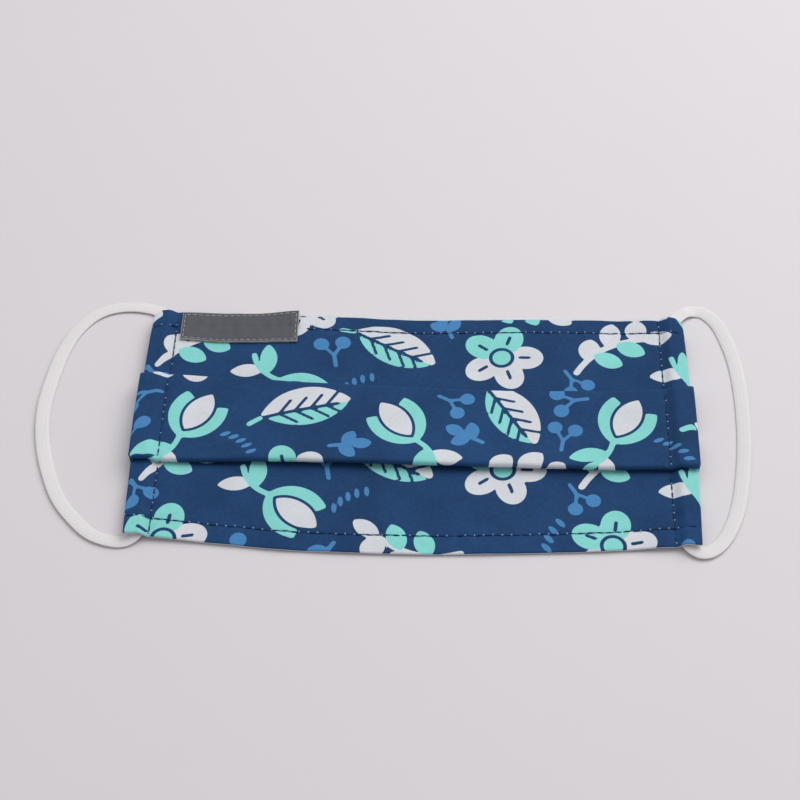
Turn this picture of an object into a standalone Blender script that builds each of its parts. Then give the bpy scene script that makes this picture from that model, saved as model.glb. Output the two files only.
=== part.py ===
"""A pleated cloth face mask that lies on its back, with an elastic ear loop at each side.

The body is one pleated cloth. Its middle panel lies over the other two, folded at its upper and lower edge.
Each side edge turns under and is stitched down, which leaves a casing that the elastic runs through.
X runs along the mask, Y from its lower edge to its upper one, and Z up from the surface that it lies on.
"""

import math

import bmesh
import bpy
from mathutils import Vector

MM = 0.001

# Body
BODY_WIDTH = 176.4 * MM  # the outer panels, where they meet the folds
BODY_HEIGHT = 90.0 * MM  # upper edge to lower edge at the stitched sides
CLOTH = 1.0 * MM
LAYER_GAP = 0.3 * MM  # air between two folded layers
UPPER_PLEAT_DEPTH = 11.0 * MM  # cloth hidden under the middle panel's upper fold
LOWER_PLEAT_DEPTH = 11.0 * MM
LOWER_FOLD_OPENING = 1.6 * MM  # how far the lower fold stands open in the middle
SIDE_BOW = 0.8 * MM  # the corners lie this much further in than the folds do
PANEL_STEP = 0.6 * MM  # the middle panel's sides stand this much further out
CORNER_RADIUS = 3.2 * MM  # upper corners, seen from the front

# Casings
CASING_WIDTH = 8.5 * MM  # side edge to stitch line
FLAP_PAST_STITCH = 2.2 * MM
CASING_WALL_BEND = 1.6 * MM  # radius where the flap turns up into the side
CASING_WALL_DROP = 0.35 * MM  # the side wall ends this far below the top of the cloth
CLOTH_INSET = 0.3 * MM  # the folded layers end this far inside the side wall's outside
CASING_UPPER_END = 2.3 * MM  # from the upper edge down to the casing's mouth
CASING_LOWER_END = 2.6 * MM  # from the lower edge up to its other mouth
STITCH_SINK = 0.2 * MM  # how far the stitches press the cloth into the flap
STITCH_RAMP = 2.4 * MM  # the cloth rises over the elastic in this width
SIDE_RAMP = 16.0 * MM  # and comes down to the surface in this one

# Elastic
ELASTIC_WIDTH = 4.7 * MM
ELASTIC_THICKNESS = 1.6 * MM
ELASTIC_GAP = 0.3 * MM
ELASTIC_FROM_SIDE = 4.4 * MM  # its centre line in the casing, from the side edge
ELASTIC_RUN_ON = 1.2 * MM  # it runs straight on this far past each mouth
LEFT_REACH = 34.4 * MM  # from that centre line to the loop's furthest point
RIGHT_REACH = 21.6 * MM

# Label
LABEL_WIDTH = 38.6 * MM
LABEL_HEIGHT = 11.5 * MM
LABEL_THICKNESS = 1.0 * MM
LABEL_GAP = 0.3 * MM
LABEL_FROM_STITCH = 1.6 * MM
LABEL_FROM_EDGE = 1.0 * MM

# The cloth's edges and folds along the mask.
# across is a share of half the body's width, the heights are shares of its height above the middle line,
# and open is the share of the lower fold's opening.
FOLD_COLUMNS = ("across", "upper_edge", "upper_fold", "lower_fold", "lower_edge", "open")
FOLD_ROWS = (
    (-1.00, 0.489, 0.170, -0.212, -0.511, 0.0),
    (-0.90, 0.500, 0.180, -0.209, -0.511, 0.0),
    (-0.65, 0.508, 0.176, -0.198, -0.530, 0.3),
    (-0.42, 0.512, 0.163, -0.198, -0.549, 0.8),
    (0.00, 0.497, 0.147, -0.203, -0.557, 1.0),
    (0.25, 0.503, 0.138, -0.206, -0.550, 1.0),
    (0.60, 0.510, 0.139, -0.206, -0.534, 0.5),
    (0.90, 0.504, 0.147, -0.206, -0.515, 0.0),
    (1.00, 0.488, 0.149, -0.212, -0.518, 0.0),
)

# Each loop's way from its casing's upper mouth round to the lower one, in rows of out, along, rise and tilt.
# out is a share of its reach, along of half the body's height, and rise of the elastic's width, above the
# height where it would rest. tilt turns its edge towards the viewer's left up, in degrees.
LEFT_LOOP_ROWS = (
    (0.09, 1.035, 0.12, -6),
    (0.32, 1.070, 0.08, -22),
    (0.58, 1.020, 0.06, -20),
    (0.81, 0.820, 0.08, -6),
    (0.92, 0.640, 0.12, 6),
    (0.98, 0.430, 0.14, 10),
    (1.00, 0.130, 0.14, 10),
    (0.98, -0.110, 0.14, 10),
    (0.93, -0.290, 0.12, 8),
    (0.84, -0.536, 0.10, 6),
    (0.71, -0.736, 0.08, 8),
    (0.57, -0.893, 0.06, 12),
    (0.40, -1.007, 0.06, 20),
    (0.23, -1.056, 0.06, 18),
    (0.10, -1.045, 0.10, 8),
)
RIGHT_LOOP_ROWS = (
    (0.14, 1.064, 0.25, 12),
    (0.27, 1.120, 0.30, 35),
    (0.41, 1.142, 0.25, 56),
    (0.56, 1.125, 0.15, 64),
    (0.74, 1.025, 0.08, 64),
    (0.86, 0.858, 0.06, 60),
    (0.96, 0.630, 0.06, 58),
    (1.00, 0.370, 0.06, 56),
    (1.00, 0.140, 0.06, 56),
    (0.96, -0.125, 0.06, 56),
    (0.88, -0.385, 0.06, 58),
    (0.76, -0.640, 0.06, 60),
    (0.63, -0.827, 0.08, 60),
    (0.46, -0.985, 0.12, 48),
    (0.29, -1.062, 0.20, 30),
    (0.14, -1.068, 0.25, 12),
)
HIDDEN_SHARES = (0.0, 0.04, 0.25, 0.5, 0.75, 0.96, 1.0)  # of the stretch in the casing

# How finely the shapes are divided
SIDE_STATIONS = (0.12, 0.3, 0.5, 0.66, 0.76, 0.86, 0.93, 1.0, 1.16, 1.5, 2.1, 2.9)  # of the casing's width
MIDDLE_STATIONS = 13
FOLD_STEPS = 4
CASING_BEND_STEPS = 3
LOOP_STEPS = 72
ELASTIC_SIDES = 10

HALF_WIDTH = BODY_WIDTH / 2
HALF_HEIGHT = BODY_HEIGHT / 2
LAYER_PITCH = CLOTH + LAYER_GAP
FOLD_RADIUS = LAYER_PITCH / 2
FOLD_REACH = FOLD_RADIUS + CLOTH / 2  # from a fold's centre to its outside
TUNNEL_TOP = CLOTH + ELASTIC_THICKNESS + 2 * ELASTIC_GAP
ELASTIC_REST = CLOTH + ELASTIC_GAP + ELASTIC_THICKNESS / 2
CASING_LINE = HALF_WIDTH - ELASTIC_FROM_SIDE
STITCH_LINE = HALF_WIDTH - CASING_WIDTH


def smooth(share):
    """Eases from 0 to 1 as the share does."""
    share = min(1.0, max(0.0, share))
    return share * share * (3 - 2 * share)


def fold_values(across):
    """The named heights at this place along the mask, on smooth curves through the rows."""
    places = [row[0] for row in FOLD_ROWS]
    last = len(FOLD_ROWS) - 1
    i = max(0, min(last - 1, sum(place <= across for place in places) - 1))
    span = places[i + 1] - places[i]
    share = (across - places[i]) / span
    values = {}
    for column, name in enumerate(FOLD_COLUMNS):
        before, start, end, after = (FOLD_ROWS[max(0, min(last, i + k))] for k in (-1, 0, 1, 2))
        slope_in = (end[column] - before[column]) / (end[0] - before[0]) * span
        slope_out = (after[column] - start[column]) / (after[0] - start[0]) * span
        rise = end[column] - start[column]
        bend = (slope_in - rise) * (1 - share) + (rise - slope_out) * share
        values[name] = start[column] + rise * share + share * (1 - share) * bend
    return values


def lift(from_side):
    """How far the cloth's underside stands off the surface, at this distance from the body's side."""
    at_stitches = CLOTH - STITCH_SINK
    if from_side > CASING_WIDTH:
        return at_stitches * smooth(1 - (from_side - CASING_WIDTH) / SIDE_RAMP)
    return at_stitches + (TUNNEL_TOP - at_stitches) * smooth((CASING_WIDTH - from_side) / STITCH_RAMP)


def side_shift(y, level, from_side):
    """How far the sides' bow and the middle panel's step move the cloth outwards."""
    share = smooth(1 - from_side / (CASING_WIDTH - STITCH_RAMP))
    step = PANEL_STEP * max(0.0, min(1.0, level - 1))
    return (step - SIDE_BOW * (y / HALF_HEIGHT) ** 2) * share


def upper_edge(across):
    """The upper edge's height, rounded at the corners."""
    into_corner = CORNER_RADIUS - HALF_WIDTH * (1 - abs(across))
    drop = 0.0
    if into_corner > 0:
        drop = CORNER_RADIUS - math.sqrt(CORNER_RADIUS**2 - into_corner**2)
    return fold_values(across)["upper_edge"] * BODY_HEIGHT - drop


def straight(start, end, level, steps, heading):
    """Points along one layer: (y, level, normal towards the cloth's printed face)."""
    return [(start + (end - start) * i / steps, level, (0.0, heading)) for i in range(steps + 1)]


def fold(y, low, side, upwards, face):
    """Points round a fold between two layers, without its ends. side is the way that it bulges."""
    points = []
    for i in range(1, FOLD_STEPS):
        angle = math.pi * i / FOLD_STEPS - math.pi / 2
        turn = angle if upwards else -angle
        out = side * math.cos(turn)
        up = math.sin(turn)
        points.append((y + FOLD_RADIUS * out, low + (up + 1) / 2, (face * out, face * up)))
    return points


def section(across):
    """The folded cloth's path from its upper edge to its lower one, with each point's layer."""
    rows = fold_values(across)
    upper = rows["upper_fold"] * BODY_HEIGHT - FOLD_REACH
    lower = rows["lower_fold"] * BODY_HEIGHT + FOLD_REACH
    upper_inner = upper - UPPER_PLEAT_DEPTH
    lower_inner = lower + LOWER_PLEAT_DEPTH
    return (
        straight(upper_edge(across), upper_inner, 0, 4, 1.0)
        + fold(upper_inner, 0, -1, True, -1.0)
        + straight(upper_inner, upper, 1, 2, -1.0)
        + fold(upper, 1, 1, True, 1.0)
        + straight(upper, lower, 2, 6, 1.0)
        + fold(lower, 1, -1, False, 1.0)
        + straight(lower, lower_inner, 1, 3, -1.0)
        + fold(lower_inner, 0, 1, False, -1.0)
        + straight(lower_inner, rows["lower_edge"] * BODY_HEIGHT, 0, 4, 1.0)
    )


def stations():
    """Places along the body as (across, distance from its side), closer together at the casings."""
    edge = [CLOTH_INSET] + [share * CASING_WIDTH for share in SIDE_STATIONS]
    inner = HALF_WIDTH - edge[-1]
    middle = [inner * (1 - 2 * (i + 1) / (MIDDLE_STATIONS + 1)) for i in range(MIDDLE_STATIONS)]
    places = [HALF_WIDTH - d for d in edge] + middle + [d - HALF_WIDTH for d in reversed(edge)]
    return [(x / HALF_WIDTH, HALF_WIDTH - abs(x)) for x in reversed(places)]


def body_point(across, from_side, y, level):
    """Where a point of the folded cloth lies."""
    rows = fold_values(across)
    lower = rows["lower_fold"] * BODY_HEIGHT + FOLD_REACH
    opening = 0.0
    if level >= 1:
        opening = LOWER_FOLD_OPENING * rows["open"] * smooth(1 - (y - lower) / LOWER_PLEAT_DEPTH)
    side = 1 if across > 0 else -1
    x = across * HALF_WIDTH + side * side_shift(y, level, from_side)
    return Vector((x, y, CLOTH / 2 + level * LAYER_PITCH + lift(from_side) + opening))


def thick_sheet(name, rows, thickness):
    """A closed mesh of that thickness about rows of (point, normal)."""
    mesh = bmesh.new()
    upper, lower = (
        [[mesh.verts.new(point + normal * (way * thickness / 2)) for point, normal in row] for row in rows]
        for way in (1, -1)
    )
    for i in range(len(rows) - 1):
        for j in range(len(rows[0]) - 1):
            mesh.faces.new((upper[i][j], upper[i + 1][j], upper[i + 1][j + 1], upper[i][j + 1]))
            mesh.faces.new((lower[i][j], lower[i][j + 1], lower[i + 1][j + 1], lower[i + 1][j]))
    for i in range(len(rows) - 1):
        for j in (0, -1):
            mesh.faces.new((upper[i][j], upper[i + 1][j], lower[i + 1][j], lower[i][j]))
    for j in range(len(rows[0]) - 1):
        for i in (0, -1):
            mesh.faces.new((upper[i][j], upper[i][j + 1], lower[i][j + 1], lower[i][j]))
    bmesh.ops.recalc_face_normals(mesh, faces=mesh.faces)
    return finished(name, mesh)


def finished(name, mesh):
    """Makes the object from its mesh, round where it is round."""
    data = bpy.data.meshes.new(name)
    mesh.to_mesh(data)
    mesh.free()
    data.shade_smooth()
    data.set_sharp_from_angle(angle=math.radians(50))
    made = bpy.data.objects.new(name, data)
    bpy.context.scene.collection.objects.link(made)
    return made


def material(name, colour, roughness):
    """A plain finish, with the colour in linear RGB."""
    made = bpy.data.materials.new(name)
    made.use_nodes = True
    shader = made.node_tree.nodes["Principled BSDF"]
    shader.inputs["Base Color"].default_value = (*colour, 1)
    shader.inputs["Roughness"].default_value = roughness
    shader.inputs["Metallic"].default_value = 0.0
    return made


def pleated_cloth():
    """The three panels and what is folded between them."""
    rows = []
    for across, from_side in stations():
        rows.append(
            [
                (body_point(across, from_side, y, level), Vector((0.0, *normal)))
                for y, level, normal in section(across)
            ]
        )
    return thick_sheet("mask_body", rows, CLOTH)


def casing_mouths(side):
    """The heights where a casing ends, below and above."""
    rows = fold_values(side)
    lower_end = rows["lower_edge"] * BODY_HEIGHT + CASING_LOWER_END
    upper_end = rows["upper_edge"] * BODY_HEIGHT - CASING_UPPER_END
    return lower_end, upper_end


def casing_stations(side):
    """Heights along a casing, with the share of the middle panel's step that each one has."""
    rows = fold_values(side)
    lower_end, upper_end = casing_mouths(side)
    lower = rows["lower_fold"] * BODY_HEIGHT
    upper = rows["upper_fold"] * BODY_HEIGHT
    return (
        [(lower_end + (lower - lower_end) * i / 4, 0.0) for i in range(5)]
        + [(lower + FOLD_RADIUS, 0.5)]
        + [(lower + FOLD_REACH + (upper - lower - 2 * FOLD_REACH) * i / 5, 1.0) for i in range(6)]
        + [(upper - FOLD_RADIUS, 0.5)]
        + [(upper + (upper_end - upper) * i / 4, 0.0) for i in range(5)]
    )


def casing(name, side):
    """The side edge's return under the body: a flap on the surface, and the side wall that joins it."""
    rows = []
    for y, step in casing_stations(side):
        bow = SIDE_BOW * (y / HALF_HEIGHT) ** 2
        wall = HALF_WIDTH - CLOTH / 2 + PANEL_STEP * step - bow
        top = TUNNEL_TOP + CLOTH + 2 * LAYER_PITCH * step - CASING_WALL_DROP
        bend = CASING_WALL_BEND
        flap_end = STITCH_LINE - FLAP_PAST_STITCH
        path = [(flap_end, CLOTH / 2, 0.0, 1.0), ((flap_end + wall) / 2, CLOTH / 2, 0.0, 1.0)]
        for i in range(CASING_BEND_STEPS + 1):
            angle = math.pi / 2 * i / CASING_BEND_STEPS
            out = math.sin(angle)
            up = math.cos(angle)
            path.append((wall - bend + bend * out, CLOTH / 2 + bend - bend * up, -out, up))
        path.append((wall, top, -1.0, 0.0))
        rows.append([(Vector((side * x, y, z)), Vector((side * nx, 0.0, nz))) for x, z, nx, nz in path])
    made = thick_sheet(name, rows, CLOTH)
    made.hide_render = True
    made.display_type = "WIRE"
    return made


def mask_body():
    """The cloth body: the pleated cloth joined to its two turned-under side edges."""
    body = pleated_cloth()
    for name, side in (("casing_left", -1), ("casing_right", 1)):
        join = body.modifiers.new(f"join {name}", "BOOLEAN")
        join.operation = "UNION"
        join.solver = "EXACT"
        join.object = casing(name, side)
    body.data.materials.append(material("navy cotton", (0.017, 0.051, 0.147), 0.85))
    return body


def rest_height(tilt):
    """The elastic's centre above a surface that it touches, at this tilt."""
    half_width = ELASTIC_WIDTH / 2 * math.sin(tilt)
    half_thickness = ELASTIC_THICKNESS / 2 * math.cos(tilt)
    return math.hypot(half_width, half_thickness)


def loop_route(side, reach, loop_rows):
    """The loop's own points, (position, tilt), all the way round and through the casing."""
    lower_end, upper_end = casing_mouths(side)
    start = lower_end - ELASTIC_RUN_ON
    run = upper_end + ELASTIC_RUN_ON - start
    x = side * CASING_LINE
    route = [(Vector((x, start + run * share, ELASTIC_REST)), 0.0) for share in HIDDEN_SHARES]
    for out, along, rise, tilt_degrees in loop_rows:
        tilt = math.radians(tilt_degrees)
        x = side * (CASING_LINE + out * reach)
        z = rest_height(tilt) + rise * ELASTIC_WIDTH
        route.append((Vector((x, along * HALF_HEIGHT, z)), tilt))
    return route


def closed_curve(route, steps):
    """Points evenly spaced on a smooth closed curve through the route: (position, tilt)."""
    fine = []
    count = len(route)
    per_span = 12
    for i in range(count):
        (p0, t0), (p1, t1), (p2, t2), (p3, t3) = (route[(i + k) % count] for k in (-1, 0, 1, 2))
        span = (p2 - p1).length
        slope_1 = (p2 - p0) / ((p2 - p1).length + (p1 - p0).length) * span
        slope_2 = (p3 - p1) / ((p3 - p2).length + (p2 - p1).length) * span
        for j in range(per_span):
            s = j / per_span
            ease = s * s * (3 - 2 * s)
            point = p1.lerp(p2, ease) + s * (1 - s) ** 2 * slope_1 - s * s * (1 - s) * slope_2
            fine.append((point, t1 + (t2 - t1) * ease))
    lengths = [0.0]
    for i in range(len(fine)):
        lengths.append(lengths[-1] + (fine[(i + 1) % len(fine)][0] - fine[i][0]).length)
    points = []
    at = 0
    for i in range(steps):
        wanted = lengths[-1] * i / steps
        while lengths[at + 1] < wanted:
            at += 1
        share = (wanted - lengths[at]) / (lengths[at + 1] - lengths[at])
        (p0, t0), (p1, t1) = fine[at], fine[(at + 1) % len(fine)]
        points.append((p0.lerp(p1, share), t0 + (t1 - t0) * share))
    return points


def ear_loop(name, side, reach, loop_rows, finish):
    """A closed loop of flat knitted elastic with rounded edges."""
    points = closed_curve(loop_route(side, reach, loop_rows), LOOP_STEPS)
    mesh = bmesh.new()
    rings = []
    for i, (centre, tilt) in enumerate(points):
        heading = points[(i + 1) % LOOP_STEPS][0] - points[i - 1][0]
        level = heading.cross(Vector((0, 0, 1))).normalized()
        up = level.cross(heading).normalized()
        wide = level * math.cos(tilt) + up * math.sin(tilt)
        thin = up * math.cos(tilt) - level * math.sin(tilt)
        ring = []
        for k in range(ELASTIC_SIDES):
            angle = 2 * math.pi * k / ELASTIC_SIDES
            across = wide * (ELASTIC_WIDTH / 2 * math.cos(angle))
            through = thin * (ELASTIC_THICKNESS / 2 * math.sin(angle))
            ring.append(mesh.verts.new(centre + across + through))
        rings.append(ring)
    for i, ring in enumerate(rings):
        following = rings[(i + 1) % LOOP_STEPS]
        for k in range(ELASTIC_SIDES):
            beside = (k + 1) % ELASTIC_SIDES
            mesh.faces.new((ring[k], ring[beside], following[beside], following[k]))
    bmesh.ops.recalc_face_normals(mesh, faces=mesh.faces)
    made = finished(name, mesh)
    made.data.materials.append(finish)
    return made


def label_patch():
    """The woven label that lies on the upper panel, beside the left stitch line."""
    left = LABEL_FROM_STITCH - STITCH_LINE
    rows = []
    for i in range(9):
        x = left + LABEL_WIDTH * i / 8
        top = upper_edge(x / HALF_WIDTH) - LABEL_FROM_EDGE
        z = lift(HALF_WIDTH - abs(x)) + CLOTH + LABEL_GAP + LABEL_THICKNESS / 2
        heights = (top - LABEL_HEIGHT, top - LABEL_HEIGHT / 2, top)
        rows.append([(Vector((x, y, z)), Vector((0, 0, 1))) for y in heights])
    made = thick_sheet("label_patch", rows, LABEL_THICKNESS)
    made.data.materials.append(material("grey woven tape", (0.1, 0.1, 0.105), 0.8))
    return made


def centre_on_footprint(pieces):
    """Hangs the pieces on one empty, so that the origin is under the middle of the whole mask."""
    bpy.context.view_layer.update()
    corners = [piece.matrix_world @ Vector(corner) for piece in pieces for corner in piece.bound_box]
    middle = [(min(c[i] for c in corners) + max(c[i] for c in corners)) / 2 for i in range(2)]
    root = bpy.data.objects.new("mask", None)
    bpy.context.scene.collection.objects.link(root)
    root.location = (-middle[0], -middle[1], 0)
    for made in bpy.context.scene.objects:
        if made.type == "MESH":
            made.parent = root


def main():
    for old in list(bpy.data.objects):
        bpy.data.objects.remove(old, do_unlink=True)
    white_elastic = material("white knitted elastic", (0.72, 0.70, 0.69), 0.9)
    centre_on_footprint(
        [
            mask_body(),
            ear_loop("ear_loop_left", -1, LEFT_REACH, LEFT_LOOP_ROWS, white_elastic),
            ear_loop("ear_loop_right", 1, RIGHT_REACH, RIGHT_LOOP_ROWS, white_elastic),
            label_patch(),
        ]
    )


main()
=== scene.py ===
"""Dresses the solids of a pleated cloth face mask with print, thread, elastic, label and a plain studio."""

import math

import bmesh
import bpy
import numpy as np
from bpy.props import FloatProperty, FloatVectorProperty, IntProperty, PointerProperty
from mathutils import Matrix, Vector, noise


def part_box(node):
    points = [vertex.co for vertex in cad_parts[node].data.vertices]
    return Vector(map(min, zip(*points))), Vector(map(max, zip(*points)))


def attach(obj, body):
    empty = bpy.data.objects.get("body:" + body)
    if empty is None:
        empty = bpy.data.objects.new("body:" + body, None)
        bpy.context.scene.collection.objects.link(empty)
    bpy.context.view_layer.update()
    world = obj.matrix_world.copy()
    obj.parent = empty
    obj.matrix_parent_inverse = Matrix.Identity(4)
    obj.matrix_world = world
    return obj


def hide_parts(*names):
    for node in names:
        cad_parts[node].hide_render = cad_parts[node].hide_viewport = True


bl_info = {
    "name": "Pleated cloth face mask",
    "version": (1, 0, 0),
    "blender": (4, 5, 0),
    "location": "3D View > Sidebar > Face mask",
    "description": "Sews, prints and lays out a pleated cloth face mask on a pale studio floor",
    "category": "Object",
}

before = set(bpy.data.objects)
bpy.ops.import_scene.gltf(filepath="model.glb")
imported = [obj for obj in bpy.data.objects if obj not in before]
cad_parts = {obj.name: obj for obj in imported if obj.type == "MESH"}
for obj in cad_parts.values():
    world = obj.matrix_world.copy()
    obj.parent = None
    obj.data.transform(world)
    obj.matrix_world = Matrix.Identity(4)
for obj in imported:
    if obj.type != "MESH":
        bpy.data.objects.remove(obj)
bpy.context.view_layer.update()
MM = 0.001
BODY_LOW, BODY_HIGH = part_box("mask_body")
LABEL_LOW, LABEL_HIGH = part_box("label_patch")

# The cloth's edges and folds along the mask, as the solid has them.
# across is a share of half the body's width, the heights are shares of its height above the middle line,
# and open is the share of the lower fold's opening.
FOLD_COLUMNS = ("across", "upper_edge", "upper_fold", "lower_fold", "lower_edge", "open")
FOLD_ROWS = (
    (-1.00, 0.489, 0.170, -0.212, -0.511, 0.0),
    (-0.90, 0.500, 0.180, -0.209, -0.511, 0.0),
    (-0.65, 0.508, 0.176, -0.198, -0.530, 0.3),
    (-0.42, 0.512, 0.163, -0.198, -0.549, 0.8),
    (0.00, 0.497, 0.147, -0.203, -0.557, 1.0),
    (0.25, 0.503, 0.138, -0.206, -0.550, 1.0),
    (0.60, 0.510, 0.139, -0.206, -0.534, 0.5),
    (0.90, 0.504, 0.147, -0.206, -0.515, 0.0),
    (1.00, 0.488, 0.149, -0.212, -0.518, 0.0),
)

# Each loop's way from its casing's upper mouth round to the lower one, as it lies in the photo.
# out is a share of its reach, along of half the body's height, and rise of the elastic's width, above the
# height where it would rest. tilt turns its edge towards the viewer's left up, in degrees.
LEFT_LOOP_ROWS = (
    (0.09, 1.035, 0.12, -4),
    (0.30, 1.074, 0.08, -4),
    (0.48, 1.066, 0.06, -4),
    (0.62, 1.028, 0.06, -4),
    (0.74, 0.960, 0.06, -2),
    (0.85, 0.845, 0.08, 0),
    (0.93, 0.700, 0.10, 2),
    (0.99, 0.500, 0.12, 4),
    (1.03, 0.250, 0.14, 6),
    (1.04, 0.090, 0.14, 6),
    (1.02, -0.100, 0.14, 6),
    (0.965, -0.300, 0.12, 6),
    (0.87, -0.515, 0.10, 6),
    (0.745, -0.714, 0.08, 6),
    (0.585, -0.869, 0.06, 6),
    (0.42, -0.985, 0.06, 6),
    (0.25, -1.040, 0.06, 6),
    (0.10, -1.045, 0.10, 4),
)
RIGHT_LOOP_ROWS = (
    (0.14, 1.050, 0.20, 4),
    (0.27, 1.098, 0.20, 0),
    (0.41, 1.115, 0.12, -4),
    (0.56, 1.098, 0.08, -8),
    (0.74, 1.000, 0.06, -10),
    (0.86, 0.845, 0.06, -10),
    (0.96, 0.625, 0.06, -10),
    (1.00, 0.370, 0.06, -10),
    (1.00, 0.140, 0.06, -10),
    (0.97, -0.125, 0.06, -10),
    (0.90, -0.385, 0.06, -10),
    (0.80, -0.630, 0.06, -10),
    (0.67, -0.815, 0.06, -8),
    (0.49, -0.965, 0.10, -6),
    (0.30, -1.045, 0.16, -2),
    (0.14, -1.055, 0.20, 2),
)
HIDDEN_SHARES = (0.0, 0.04, 0.25, 0.5, 0.75, 0.96, 1.0)  # of the stretch in the casing

# The print's repeat, in millimetres on the flat cloth from its left side and upper edge,
# and its motifs: each one's place across and down, its turn in degrees and its size.
PRINT_REPEAT = (136.0, 98.0)
PRINT_ROWS = (
    ("sprig", 17.0, 15.0, 24, 1.02),
    ("bloom", 13.0, 46.0, 10, 0.98),
    ("bud", 15.0, 79.0, 62, 0.98),
    ("bud", 45.0, 30.0, -38, 1.0),
    ("leaf", 53.0, 68.0, 16, 0.95),
    ("bloom", 50.0, 96.0, 40, 0.9),
    ("leaf", 81.0, 13.0, -28, 0.95),
    ("sprig", 88.0, 46.0, 158, 1.0),
    ("bud", 88.0, 79.0, 128, 0.98),
    ("bloom", 116.0, 17.5, 0, 1.0),
    ("leaf", 119.0, 69.0, -58, 0.9),
    ("sprig", 121.0, 95.0, -14, 0.98),
    ("berries", 33.0, 51.0, 20, 1.0),
    ("twig", 62.0, 51.0, -120, 0.9),
    ("twig", 67.0, 83.0, 10, 0.9),
    ("berries", 61.0, 17.0, 100, 1.0),
    ("berries", 100.0, 64.0, -30, 0.9),
    ("twig", 105.0, 78.0, 150, 0.9),
    ("seeds", 131.0, 44.0, 70, 0.9),
    ("berries", 2.0, 64.0, 190, 0.95),
    ("twig", 98.0, 4.0, 110, 0.85),
    ("seeds", 33.0, 83.0, -40, 0.75),
    ("berries", 135.0, 79.0, 80, 0.9),
    ("seeds", 69.0, 30.0, 35, 0.8),
    ("berries", 3.0, 27.5, -60, 0.9),
)
# The bare selvedge along the upper edge: where it starts and ends across the flat cloth, and its width.
SELVEDGE = (30.0, 171.0, 1.1)


def linear(code):
    """The linear colour of an sRGB hex code."""
    parts = [int(code[i : i + 2], 16) / 255 for i in (1, 3, 5)]
    return tuple(p / 12.92 if p <= 0.04045 else ((p + 0.055) / 1.055) ** 2.4 for p in parts)


def length(millimetres, description):
    return FloatProperty(description=description, default=millimetres * MM, min=0, unit="LENGTH")


def turn(degrees, description):
    return FloatProperty(description=description, default=math.radians(degrees), subtype="ANGLE")


def colour(code, description):
    return FloatVectorProperty(description=description, default=linear(code), min=0, max=1, subtype="COLOR")


def labelled(group):
    """Labels each setting in the panel with its own name."""
    for name, setting in group.__annotations__.items():
        setting.keywords["name"] = name.replace("_", " ").capitalize()
    return group


@labelled
class ClothSettings(bpy.types.PropertyGroup):
    """How the mask's body is cut, folded and sewn."""

    width: length(176.4, "The outer panels at the folds")
    height: length(90, "Of the stitched sides")
    cloth: length(1.0, "The cloth's thickness")
    layer_gap: length(0.3, "Air between two folded layers")
    pleat_depth: length(11, "Cloth hidden under each fold")
    fold_opening: length(0.9, "Of the lower fold, in the middle")
    side_bow: length(0.8, "The corners lie this far inside the folds' ends")
    panel_step: length(0.6, "The middle panel stands this far out")
    corner_radius: length(3.2, "Of the upper corners, from the front")
    edge_radius: length(0.4, "How round the cloth's edges are")
    casing_width: length(8.5, "Side edge to stitch line")
    flap: length(2.2, "Turned-under cloth past the stitches")
    wall_bend: length(1.6, "Radius where the flap turns up into the side")
    wall_inset: length(0.03, "Side wall inside the layers' ends")
    wall_drop: length(0.5, "Side wall below the cloth's top")
    tunnel: length(2.5, "Height of the casing's hollow")
    upper_mouth: length(2.3, "Upper edge to the casing's mouth")
    lower_mouth: length(2.6, "Lower edge to the casing's other mouth")
    stitch_sink: length(0.2, "The stitches press the cloth down this far")
    stitch_ramp: length(3.4, "The cloth rises over the elastic in this width")
    side_ramp: length(16, "The cloth comes down to the surface in this width")
    step: length(0.75, "Between two lines of the mesh")
    wave: length(0.75, "Height of the cloth's soft waves")
    pucker: length(0.32, "Height of the small gathers along the seams")


@labelled
class ThreadSettings(bpy.types.PropertyGroup):
    """The sewing."""

    pitch: length(2.8, "Length of one stitch with its gap")
    gap: length(0.4, "Cloth between two stitches")
    thread: length(0.5, "Thickness of the thread")
    from_upper_edge: length(6.7, "Seam below the upper edge")
    from_lower_edge: length(6.5, "Seam above the lower edge")
    speck: length(0.66, "Lower thread that shows at a needle hole")


@labelled
class LabelSettings(bpy.types.PropertyGroup):
    """The woven label."""

    height: length(11.5, "Height of its left end")
    flare: length(1.5, "Its right end is this much higher")
    from_edge: length(1.1, "Cloth above the label's left end")
    thickness: length(0.8, "Thickness of the folded tape")
    gap: length(0.15, "Air under the label")
    sag: length(0.5, "Its middle lies this much lower than its ends")
    curl: length(0.7, "Its right end stands up this far")
    inset: length(0.85, "Stitches inside the label's edge")
    pitch: length(2.1, "Length of one stitch with its gap")
    stitch_gap: length(0.56, "Tape between two stitches")
    thread: length(0.36, "Thickness of the thread")
    step: length(0.35, "Between two lines of the mesh")


@labelled
class ElasticSettings(bpy.types.PropertyGroup):
    """The ear loops."""

    width: length(4.5, "Width of the flat elastic")
    thickness: length(0.9, "Thickness of the elastic")
    gap: length(0.1, "Room round it in the casing")
    from_side: length(4.4, "Side edge to its centre line in the casing")
    run_on: length(1.2, "It runs straight on this far past each mouth")
    left_reach: length(33.9, "The left loop's rows are shares of this")
    right_reach: length(20.7, "The right loop's rows are shares of this")
    rib: length(0.01, "Height of the ribs that run along it")
    ribs: IntProperty(description="Ribs round the elastic", default=12, min=4)
    steps: IntProperty(description="Rings along one loop", default=480, min=72)
    sides: IntProperty(description="Faces round one ring", default=48, min=12)


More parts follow.
